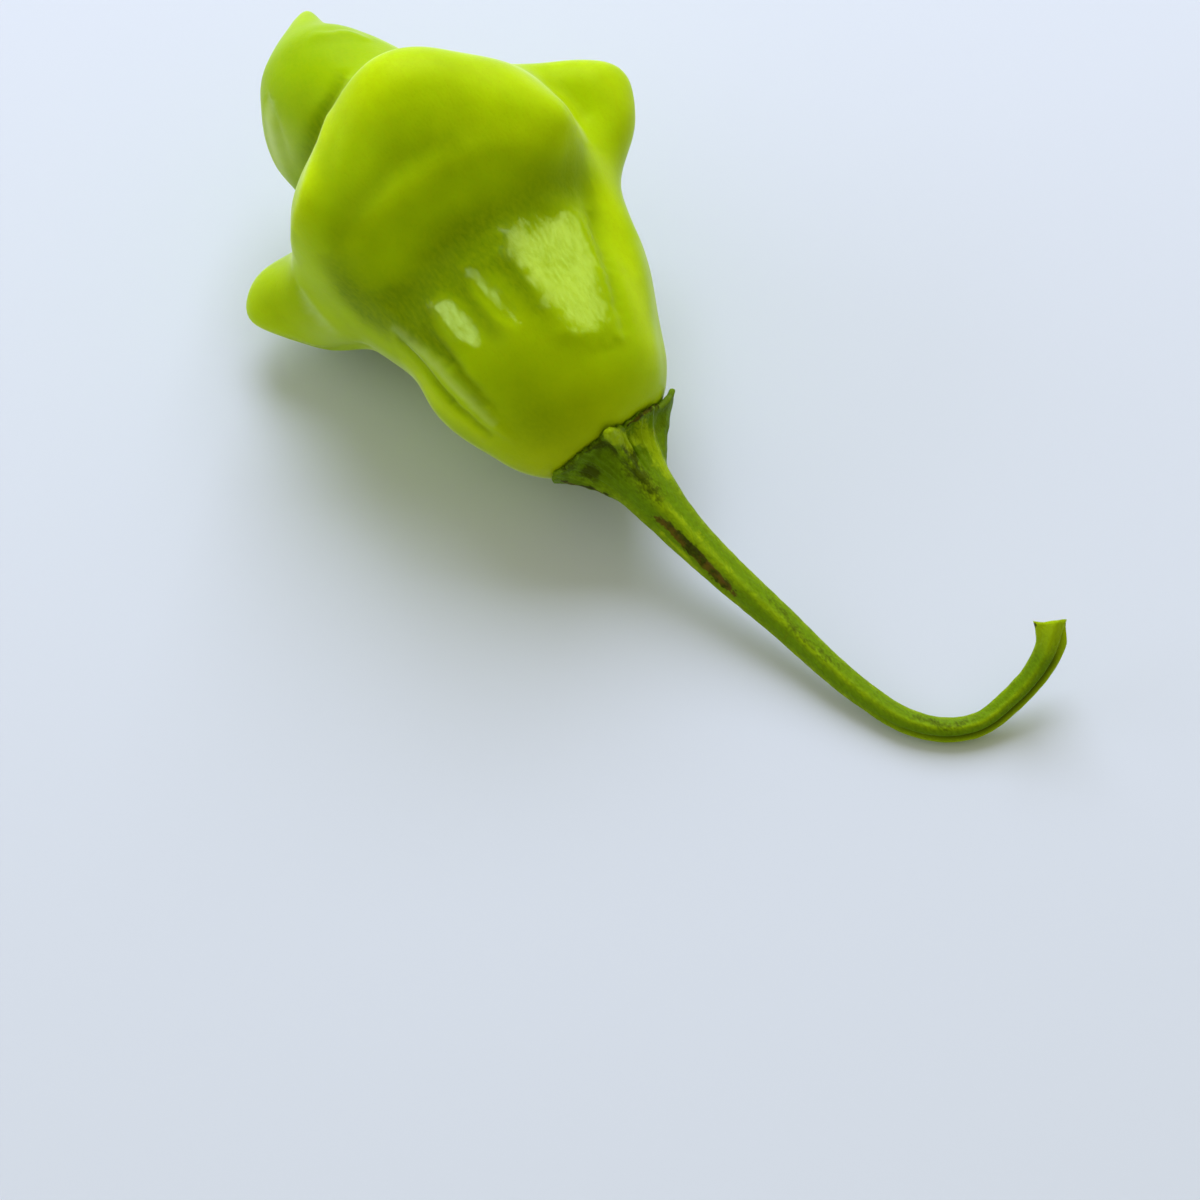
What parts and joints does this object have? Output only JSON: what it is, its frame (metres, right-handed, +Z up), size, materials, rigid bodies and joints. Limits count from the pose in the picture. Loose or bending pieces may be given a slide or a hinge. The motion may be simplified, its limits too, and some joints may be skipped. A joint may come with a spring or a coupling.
{
  "type": "chilli pepper",
  "caption": "Lobed, bell-shaped chilli pepper lying on its side, with a toothed calyx and a long curved stalk.",
  "frame": {"origin": "centre of the footprint's bounding box, on the surface that the pepper lies on", "axes": "+Z up from that surface; +X from the pod's blossom end to the bend of the stalk; +Y to the side where the stalk's torn end turns"},
  "size_m": [0.1326, 0.0518, 0.0466],
  "materials": {
    "pod_skin": "waxy, glossy lime-green fruit skin, a little translucent",
    "stalk_skin": "satin, ridged green stalk with brown scars"
  },
  "bodies": {
    "root": {"pod": "pod_skin", "stalk": "stalk_skin"}
  },
  "joints": []
}
